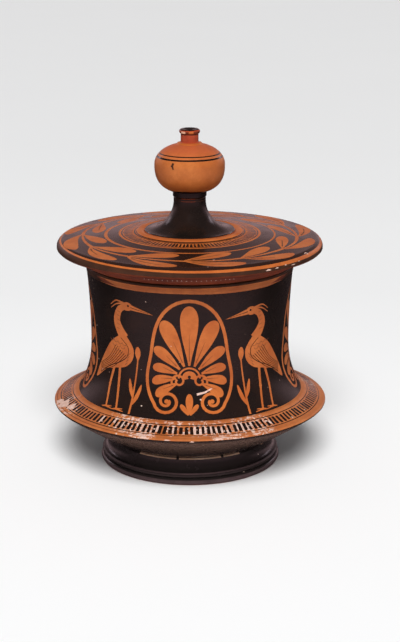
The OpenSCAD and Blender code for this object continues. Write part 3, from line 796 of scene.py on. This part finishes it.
def make_knob():
    skin = Skin()
    skin.facets(CLAY, (CORE_R, STEM_TOP_Z), (NOTCH_R, STEM_TOP_Z), step=4)
    skin.facets(BLACK, (NOTCH_R, STEM_TOP_Z), (KNOB_RING_R, STEM_TOP_Z + ARRIS), (KNOB_RING_R, RING_TOP_Z - ARRIS),
                (KNOB_RING_R, RING_TOP_Z))
    low = [(r, BELLY_Z - (BELLY_Z - RING_TOP_Z) * h) for r, h in swell(KNOB_RING_R, LOW_POWER, 60)]
    high = [(r, BELLY_Z + (KNOB_TOP_Z - BELLY_Z) * h) for r, h in swell(FINIAL_STEP_R, TOP_POWER, 60)]
    curve = Curve(low[::-1] + high[1:])
    thin, broad = curve.where(1, 154.7), curve.where(1, 153.2)
    edge = wobble(61, 0.5)
    shapes = ring_band(KNOB_R, BELOW, lambda a: 2.6 + 1.5 * math.cos(a) + edge(a), BLACK)
    shapes += ring_band(KNOB_R, shaken(broad - 0.45, 62, 0.08), shaken(broad + 0.45, 63, 0.12), BLACK)
    shapes += ring_band(KNOB_R, shaken(thin - 0.32, 64, 0.08), shaken(thin + 0.3, 65, 0.1), BLACK)
    u, s = math.radians(-28.5) * KNOB_R, curve.where(1, 150.6)
    shapes += stroke([(u + 0.2, s + 1.4), (u - 0.1, s), (u + 0.5, s - 1.7)], (1.4, 0.7), BROWN)
    shapes += stroke([(u + 0.2, s + 0.4), (u - 0.9, s - 0.2)], (1.1, 0.6), BROWN)
    skin.painted(curve, KNOB_R, FIRED, shapes, even(0.0, curve.length, 48))
    skin.facets(CLAY, (FINIAL_STEP_R, KNOB_TOP_Z), (CORE_R, KNOB_TOP_Z), step=4)
    skin.facets(CLAY, (CORE_R, KNOB_TOP_Z), (CORE_R, STEM_TOP_Z), step=6)
    skin.build("knob_bulb_painted", "lid", "knob_bulb")


def lip_paint_with_highlights(angle):
    """The finial's lip: a pale painted highlight front-left and a clay-coloured painted highlight in front, clay
    behind, red-brown elsewhere
    """
    degrees = math.degrees(angle)
    return PALE if -52 < degrees < -24 else CLAY if -4 < degrees < 22 or abs(degrees) > 130 else WASH


def make_finial():
    skin = Skin()
    half, step_z = FINIAL_LIP_H / 2, KNOB_TOP_Z + FINIAL_STEP_H
    edge, neck_foot = (FINIAL_STEP_R - ARRIS, step_z - ARRIS / 2), (FINIAL_NECK_R + ARRIS, step_z)
    neck_low, neck_high = (FINIAL_NECK_R, step_z + ARRIS), (FINIAL_NECK_R, TOP_Z - FINIAL_LIP_H - ARRIS)
    skin.facets(CLAY, (FINIAL_STEP_R, KNOB_TOP_Z), edge, step=0.3)
    skin.facets(CLAY, edge, neck_foot, step=0.5)
    skin.facets(RED, neck_foot, neck_low)
    skin.facets(RED, neck_low, neck_high, step=0.5)
    lip = Curve(arc((FINIAL_LIP_R - half, TOP_Z - half), half, -70, 90, 30))
    skin.facets(WASH, neck_high, lip.points[0])
    # The lip's middle band carries the painted highlights in front
    skin.bands(lip, (shaken(lip.length * 0.22, 70, 0.12), WASH), (shaken(lip.length * 0.5, 71, 0.35), lip_paint_with_highlights),
               (shaken(lip.length * 0.66, 72, 0.3), RED), (lip.length, BLACK), step=0.25)
    dish_z = TOP_Z - FINIAL_DISH
    skin.facets(BLACK, lip.points[-1], (VENT_R + ARRIS, dish_z), step=0.5)
    skin.facets(BLACK, (VENT_R + ARRIS, dish_z), (VENT_R, dish_z - ARRIS), (VENT_R, KNOB_TOP_Z), step=2)
    skin.build("knob_finial_turned", "lid", "knob_finial")


# Materials


class Nodes:
    """Adds nodes to a tree; each input is a value, or the output of another node"""

    def __init__(self, tree):
        self.tree = tree

    def feed(self, socket, value):
        if isinstance(value, bpy.types.NodeSocket):
            self.tree.links.new(value, socket)
        else:
            socket.default_value = value

    def add(self, kind, inputs, output=0, **settings):
        """Adds a node and returns one of its outputs"""
        made = self.tree.nodes.new("ShaderNode" + kind)
        for key, value in settings.items():
            setattr(made, key, value)
        for key, value in inputs.items():
            self.feed(made.inputs[key], value)
        return made.outputs[output]

    def axis(self, vector, name):
        return self.add("SeparateXYZ", {0: vector}, name)

    def span(self, value, low, high, to_low=0.0, to_high=1.0, kind="LINEAR"):
        limits = {"From Min": low, "From Max": high, "To Min": to_low, "To Max": to_high}
        return self.add("MapRange", {"Value": value, **limits}, "Result", interpolation_type=kind)

    def math(self, operation, a, b):
        return self.add("Math", {0: a, 1: b}, operation=operation)

    def times(self, a, b):
        return self.math("MULTIPLY", a, b)

    def vector(self, operation, a, b=(0, 0, 0), output="Vector"):
        return self.add("VectorMath", {0: a, 1: b}, output, operation=operation)

    def mix(self, share, a, b):
        a, b = ((*colour, 1.0) if isinstance(colour, tuple) else colour for colour in (a, b))
        return self.add("Mix", {0: share, 6: a, 7: b}, 2, data_type="RGBA")


class Tree(Nodes):
    """A node material that starts from Blender's Principled shader, with coordinates in millimetres"""

    def __init__(self, name):
        self.material = bpy.data.materials.new(name)
        self.material.use_nodes = True
        super().__init__(self.material.node_tree)
        self.shader = self.tree.nodes["Principled BSDF"]
        self.object_place = self.add("TexCoord", {}, "Object")
        self.place = self.add("VectorMath", {0: self.object_place, "Scale": 1 / MM}, operation="SCALE")
        self.radius = self.vector("LENGTH", self.vector("MULTIPLY", self.place, (1, 1, 0)), output="Value")
        self.height = self.axis(self.place, "Z")
        self.rings = self.add("CombineXYZ", {0: self.radius, 2: self.height})

    def noise(self, scale, detail=4.0, roughness=0.55, where=None):
        inputs = {"Vector": where or self.place, "Scale": scale, "Detail": detail, "Roughness": roughness}
        return self.add("TexNoise", inputs, "Fac")

    def patches(self, places, ragged, edge):
        """1 inside ragged patches given as (centre, radius), 0 outside; edge is the width of their border"""
        total = 0.0
        for centre, radius in places:
            away = self.math("ADD", self.vector("DISTANCE", self.place, centre, "Value"), ragged)
            total = self.math("MAXIMUM", total, self.span(away, radius - edge, radius + edge, 1.0, 0.0))
        return total

    def specks(self, scale, size, share):
        """1 in small scattered dots, 0 elsewhere"""
        away = self.add("TexVoronoi", {"Vector": self.place, "Scale": scale}, "Distance")
        chance = self.add("SeparateColor", {0: away.node.outputs["Color"]})
        return self.times(self.math("LESS_THAN", away, size * scale), self.math("LESS_THAN", chance, share))

    def bump(self, height, strength):
        inputs = {"Strength": strength, "Distance": BUMP_DEPTH * MM, "Height": height}
        self.feed(self.shader.inputs["Normal"], self.add("Bump", inputs, "Normal"))

    def finish(self, colour, roughness, specular):
        for key, value in (("Base Color", colour), ("Roughness", roughness), ("Specular IOR Level", specular)):
            self.feed(self.shader.inputs[key], value)
        return self.material


def throwing_marks(tree):
    """Fine rings left by the wheel, over a very faint grain"""
    rings = tree.noise(1.1, 3.0, 0.6, tree.rings)
    grain = tree.noise(3.2, 4.0, 0.6)
    return tree.math("ADD", tree.times(rings, 0.8), tree.times(grain, 0.2))


def black_gloss():
    """Gloss that is browner where thin, redder on the lid, greyer on the foot, and lighter brown under the flange's
    edge: thin slip together with a painted reflection of the floor
    """
    tree = Tree("black_gloss")
    thin = tree.span(tree.noise(0.045, 4.0, 0.6), 0.5, 0.75)
    streak = tree.span(tree.noise(0.5, 3.0, 0.6, tree.rings), 0.45, 0.75)
    colour = tree.mix(tree.times(thin, 0.6), (0.009, 0.0062, 0.005), (0.024, 0.0105, 0.0065))
    colour = tree.mix(tree.times(streak, 0.25), colour, (0.019, 0.0105, 0.0072))
    lid = tree.span(tree.height, LID_UNDER_Z - 0.5, LID_UNDER_Z + 0.5)
    colour = tree.mix(tree.times(lid, tree.span(tree.radius, 23.0, 27.0)), colour, (0.022, 0.0088, 0.0055))
    colour = tree.mix(tree.span(tree.height, 13.0, 12.0), colour, (0.018, 0.0135, 0.0125))
    # Lighter brown under the flange's outer edge: thin slip, with a painted reflection of the floor below
    thin_slip_and_reflection = tree.times(tree.span(tree.radius, 45.0, 65.0), tree.span(tree.height, 31.0, 29.0))
    colour = tree.mix(tree.times(thin_slip_and_reflection, 0.85), colour, (0.16, 0.09, 0.068))
    flecks = tree.times(tree.specks(0.13, 0.36, 0.6), tree.span(tree.height, 106.0, 104.0))
    colour = tree.mix(flecks, colour, (0.55, 0.42, 0.35))
    roughness = tree.span(tree.noise(0.12, 5.0, 0.6), 0.3, 0.7, 0.2, 0.3)
    tree.bump(throwing_marks(tree), 0.13)
    tree.shader.inputs["Specular Tint"].default_value = (1.0, 0.84, 0.93, 1.0)
    return tree.finish(colour, roughness, 0.26)


def reserved_clay(name="reserved_clay", pale=(0.55, 0.155, 0.034), deep=(0.4, 0.09, 0.018), specular=0.3, worn=(),
                  redder=None):
    """Bare fired clay; worn spots show pale, chalky flecks, and redder is a span of heights over which it reddens"""
    tree = Tree(name)
    cloud = tree.span(tree.noise(0.07, 5.0, 0.6), 0.32, 0.68)
    fine = tree.span(tree.noise(1.4, 5.0, 0.65), 0.3, 0.7)
    mottle = tree.span(tree.noise(0.32, 4.0, 0.6), 0.42, 0.66)
    colour = tree.mix(cloud, deep, pale)
    if redder:
        colour = tree.mix(tree.span(tree.height, *redder), colour, (0.46, 0.098, 0.032))
    colour = tree.mix(tree.times(mottle, 0.3), colour, tuple(c * 0.7 for c in deep))
    colour = tree.mix(tree.times(fine, 0.22), colour, tuple(c * 0.62 for c in deep))
    roughness = tree.span(tree.noise(0.25, 4.0, 0.6), 0.3, 0.7, 0.38, 0.5)
    if worn:
        ragged = tree.span(tree.noise(0.35, 3.0, 0.6), 0.3, 0.7, -3.0, 3.0)
        flecks = tree.span(tree.noise(0.75, 5.0, 0.7), 0.5, 0.56)
        colour = tree.mix(tree.times(tree.patches(worn, ragged, 1.5), flecks), colour, (0.7, 0.5, 0.42))
    tree.bump(throwing_marks(tree), 0.3)
    return tree.finish(colour, roughness, specular)


def worn_clay():
    tree = Tree("worn_clay")
    colour = tree.mix(tree.span(tree.noise(0.9, 5.0, 0.7), 0.35, 0.65), (0.72, 0.53, 0.46), (0.48, 0.27, 0.2))
    roughness = tree.span(tree.noise(0.8), 0.3, 0.7, 0.7, 0.85)
    tree.bump(tree.noise(2.0, 5.0, 0.7), 0.5)
    return tree.finish(colour, roughness, 0.25)


def make_materials():
    return {
        BLACK: black_gloss(),
        CLAY: reserved_clay(),
        CHALKY: reserved_clay("chalky_clay", (0.51, 0.165, 0.048), (0.375, 0.102, 0.028), worn=FLANGE_WEAR),
        WASH: reserved_clay("red_wash", (0.22, 0.04, 0.014), (0.13, 0.022, 0.009), 0.2),
        RED: reserved_clay("red_ochre", (0.45, 0.076, 0.024), (0.3, 0.035, 0.012)),
        DILUTE: reserved_clay("dilute_lines", (0.2, 0.05, 0.016), (0.11, 0.028, 0.01)),
        WORN: worn_clay(),
        BROWN: reserved_clay("brown_slip", (0.075, 0.028, 0.014), (0.034, 0.014, 0.008), 0.15),
        # Pale grey-violet gloss for the foot's crests: rubbing together with a painted highlight
        RUBBED_AND_HIGHLIGHT: reserved_clay("rubbed_gloss_highlight", (0.09, 0.054, 0.056), (0.04, 0.025, 0.026)),
        FIRED: reserved_clay("fired_clay", (0.54, 0.165, 0.04), (0.4, 0.1, 0.021), redder=(152.0, 157.0)),
        PALE: reserved_clay("pale_clay", (0.95, 0.62, 0.45), (0.7, 0.37, 0.22)),
    }


# Stage


def make_floor():
    """Pale ground, bright in front and darker further back: a painted fall-off of the light"""
    half = 6.0
    mesh = bpy.data.meshes.new("floor")
    mesh.from_pydata([(-half, -half, 0), (half, -half, 0), (half, half, 0), (-half, half, 0)], [], [(0, 1, 2, 3)])
    floor = bpy.data.objects.new("floor", mesh)
    bpy.context.scene.collection.objects.link(floor)
    tree = Tree("floor_paper")
    grain = tree.span(tree.add("TexNoise", {"Scale": 40.0}, "Fac"), 0.0, 1.0, 0.98, 1.0)
    # Painted fall-off of the light: the ground's colour darkens with distance behind the pot
    painted_falloff = tree.add("ValToRGB", {0: tree.span(tree.axis(tree.object_place, "Y"), -0.4, 3.6)}, "Color")
    stops = painted_falloff.node.color_ramp.elements
    for stop, grey in ((stops[0], 0.945), (stops[1], 0.79)):
        stop.color = (grey, grey, grey, 1)
    for position, grey in ((0.1, 0.935), (0.125, 0.917), (0.18, 0.855), (0.33, 0.82)):
        stops.new(position).color = (grey, grey, grey, 1)
    mesh.materials.append(tree.finish(tree.vector("MULTIPLY", painted_falloff, grain), 0.9, 0.1))
    floor.visible_glossy = False


def make_world():
    """A dim surround with a pale band low behind, and a ground that the gloss mirrors instead of the floor's glare"""
    world = bpy.data.worlds.new("surround")
    world.use_nodes = True
    bpy.context.scene.world = world
    tree, background = Nodes(world.node_tree), world.node_tree.nodes["Background"]
    place = tree.add("TexCoord", {}, "Generated")
    y, z, span = tree.axis(place, "Y"), tree.axis(place, "Z"), partial(tree.span, kind="SMOOTHSTEP")
    front = span(y, -0.75, 0.35, WORLD_FRONT, WORLD_BACK)
    low = tree.times(span(z, 0.06, 0.42, WORLD_LOW, 0.0), span(y, -0.2, 0.5))
    sky = tree.times(tree.math("ADD", front, low), span(z, -0.04, 0.02))
    ground = tree.times(span(y, -0.7, 0.2, GROUND_FRONT, GROUND_BACK), span(z, -0.04, 0.02, 1.0, 0.0))
    tint = tree.mix(tree.add("LightPath", {}, "Is Glossy Ray"), (0.97, 0.98, 1.0), (1.0, 0.68, 0.7))
    tree.feed(background.inputs["Strength"], tree.math("ADD", sky, ground))
    tree.feed(background.inputs["Color"], tint)


def place_light(name, kind, at, aim, **settings):
    data = bpy.data.lights.new(name, kind)
    for key, value in settings.items():
        setattr(data, key, value)
    light = bpy.data.objects.new(name, data)
    light.location = at
    light.rotation_euler = (Vector(aim) - Vector(at)).to_track_quat("-Z", "Y").to_euler()
    bpy.context.scene.collection.objects.link(light)
    return light


def make_lights():
    """A broad light high in front, a softbox with it, and dim panels behind that the gloss mirrors at a slant"""
    elevation, aim = math.radians(46), (0, 0, 0.05)
    broad = place_light("broad_light", "SUN", (0, -math.cos(elevation), math.sin(elevation)), (0, 0, 0),
                        energy=BROAD_LIGHT, angle=math.radians(28))
    softbox = place_light("softbox", "AREA", (0, -1, 1.4), aim, shape="RECTANGLE", size=1.0, size_y=0.6,
                          energy=SOFTBOX)
    broad.visible_glossy = softbox.visible_glossy = False
    for side in (-1, 1):
        panel = place_light("panel", "AREA", (0.99 * side, 1.07, 0.65), aim, shape="RECTANGLE", size=0.3,
                            size_y=0.4, energy=PANEL, color=(1.0, 0.84, 0.92))
        panel.visible_diffuse = False


def make_camera():
    """Camera at the photograph's place, 15.9 degrees above the level"""
    data = bpy.data.cameras.new("camera")
    data.sensor_width = 36.0
    data.lens = 89.72
    camera = bpy.data.objects.new("camera", data)
    elevation, distance, aim_z, sideways = math.radians(15.92), 0.79555, 0.07, 0.005
    camera.location = (sideways, -distance * math.cos(elevation), aim_z + distance * math.sin(elevation))
    camera.rotation_euler = (math.pi / 2 - elevation, 0, 0)
    bpy.context.scene.collection.objects.link(camera)
    bpy.context.scene.camera = camera


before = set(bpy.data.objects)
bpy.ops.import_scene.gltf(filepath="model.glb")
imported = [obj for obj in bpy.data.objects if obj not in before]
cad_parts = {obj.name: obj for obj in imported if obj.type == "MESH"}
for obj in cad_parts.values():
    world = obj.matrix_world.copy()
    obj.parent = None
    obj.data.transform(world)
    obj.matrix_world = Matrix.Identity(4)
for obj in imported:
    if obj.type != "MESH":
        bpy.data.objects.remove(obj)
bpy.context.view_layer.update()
bpy.context.scene.view_settings.view_transform = "Standard"
MATERIALS = make_materials()
for make in (make_foot, make_bowl, make_flange, make_wall, make_locating_ring, make_seat, make_lid, make_collar,
             make_stem, make_knob, make_finial, make_floor, make_world, make_lights, make_camera):
    make()
